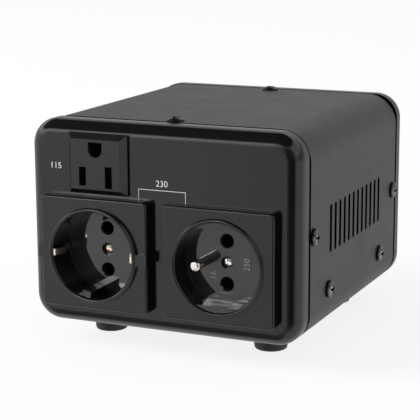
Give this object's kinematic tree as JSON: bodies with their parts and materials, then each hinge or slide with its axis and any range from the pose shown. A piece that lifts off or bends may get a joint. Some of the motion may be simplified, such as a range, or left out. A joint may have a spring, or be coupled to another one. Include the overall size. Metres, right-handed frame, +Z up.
{
  "type": "boxed voltage converter",
  "caption": "Boxed transformer voltage converter on rubber feet, with a flat-blade outlet and round earthed sockets in front, and a mains inlet, rocker switch, selector and fuse behind.",
  "frame": {"origin": "under the middle of the whole box, on the surface that the feet stand on", "axes": "+X to the right as the sockets are seen, +Y from the sockets to the rear, +Z up"},
  "size_m": [0.133, 0.1606, 0.1033],
  "materials": {
    "bezel_plastic": "satin black moulded plastic",
    "cover_paint": "black powder coat with a fine orange-peel texture",
    "zinc_steel": "zinc-plated steel",
    "foot_rubber": "black rubber",
    "black_screws": "black-zinc screws with a faint violet sheen",
    "socket_plastic": "glossy black moulded plastic",
    "housing_plastic": "plain dark moulded plastic",
    "outlet_plastic": "satin dark grey moulded plastic",
    "contact_brass": "stamped brass",
    "plated_steel": "bright nickel plating",
    "core_steel": "stacked electrical-steel laminations",
    "bobbin_nylon": "natural nylon",
    "winding_copper": "enamelled copper wire",
    "yellow_tape": "yellow polyester tape",
    "rear_plastic": "black moulded plastic",
    "rocker_plastic": "glossy black moulded plastic",
    "slider_plastic": "red moulded plastic",
    "fuse_glass": "clear glass tube"
  },
  "bodies": {
    "case": {"front_bezel": "bezel_plastic", "rear_bezel": "bezel_plastic", "top_cover": "cover_paint", "base_plate": "cover_paint", "foot_front_left": "foot_rubber", "foot_front_right": "foot_rubber", "foot_rear_left": "foot_rubber", "foot_rear_right": "foot_rubber", "foot_screws": "zinc_steel", "top_cover_screws": "black_screws", "side_end_screws": "black_screws", "side_base_screws": "black_screws", "base_end_screws": "zinc_steel", "left_socket": "socket_plastic", "left_socket_back": "housing_plastic", "left_contacts": "contact_brass", "left_earth_strap": "plated_steel", "left_screw": "contact_brass", "right_socket": "socket_plastic", "right_socket_back": "housing_plastic", "right_contacts": "contact_brass", "right_earth_pin": "plated_steel", "right_screw": "plated_steel", "blade_outlet": "outlet_plastic", "blade_outlet_back": "housing_plastic", "blade_contacts": "contact_brass", "blade_earth_contact": "contact_brass", "core_e_stack": "core_steel", "core_i_stack": "core_steel", "bobbin": "bobbin_nylon", "primary_winding": "winding_copper", "secondary_winding": "winding_copper", "winding_tape": "yellow_tape", "transformer_strap": "zinc_steel", "strap_screws": "zinc_steel", "strap_nuts": "zinc_steel", "core_bolts": "zinc_steel", "core_nuts": "zinc_steel", "inlet_body": "rear_plastic", "inlet_line_pins": "plated_steel", "inlet_earth_pin": "plated_steel", "inlet_screws": "black_screws", "inlet_nuts": "zinc_steel", "switch_frame": "rear_plastic", "switch_tabs": "zinc_steel", "selector_frame": "rear_plastic", "selector_pins": "zinc_steel", "fuse_holder": "rear_plastic", "fuse_nut": "rear_plastic", "fuse_terminals": "contact_brass"},
    "rocker": {"switch_rocker": "rocker_plastic"},
    "selector": {"selector_slider": "slider_plastic"},
    "fuse": {"fuse_glass": "fuse_glass", "fuse_end_caps": "plated_steel"},
    "cap": {"fuse_cap": "rear_plastic"}
  },
  "joints": [
    {"name": "rocker_tilt", "type": "hinge", "parent": "case", "child": "rocker", "pos_m": [-0.031, 0.0697, 0.0745], "axis": [1, 0, 0], "range_deg": [0, 20]},
    {"name": "selector_slide", "type": "slide", "parent": "case", "child": "selector", "axis": [1, 0, 0], "range_m": [0, 0.005]},
    {"name": "fuse_draw", "type": "slide", "parent": "case", "child": "fuse", "axis": [0, 1, 0], "range_m": [0, 0.022]},
    {"name": "cap_turn", "type": "hinge", "parent": "fuse", "child": "cap", "pos_m": [0.033, 0.0753, 0.0765], "axis": [0, 1, 0], "range_deg": [0, 90]}
  ]
}
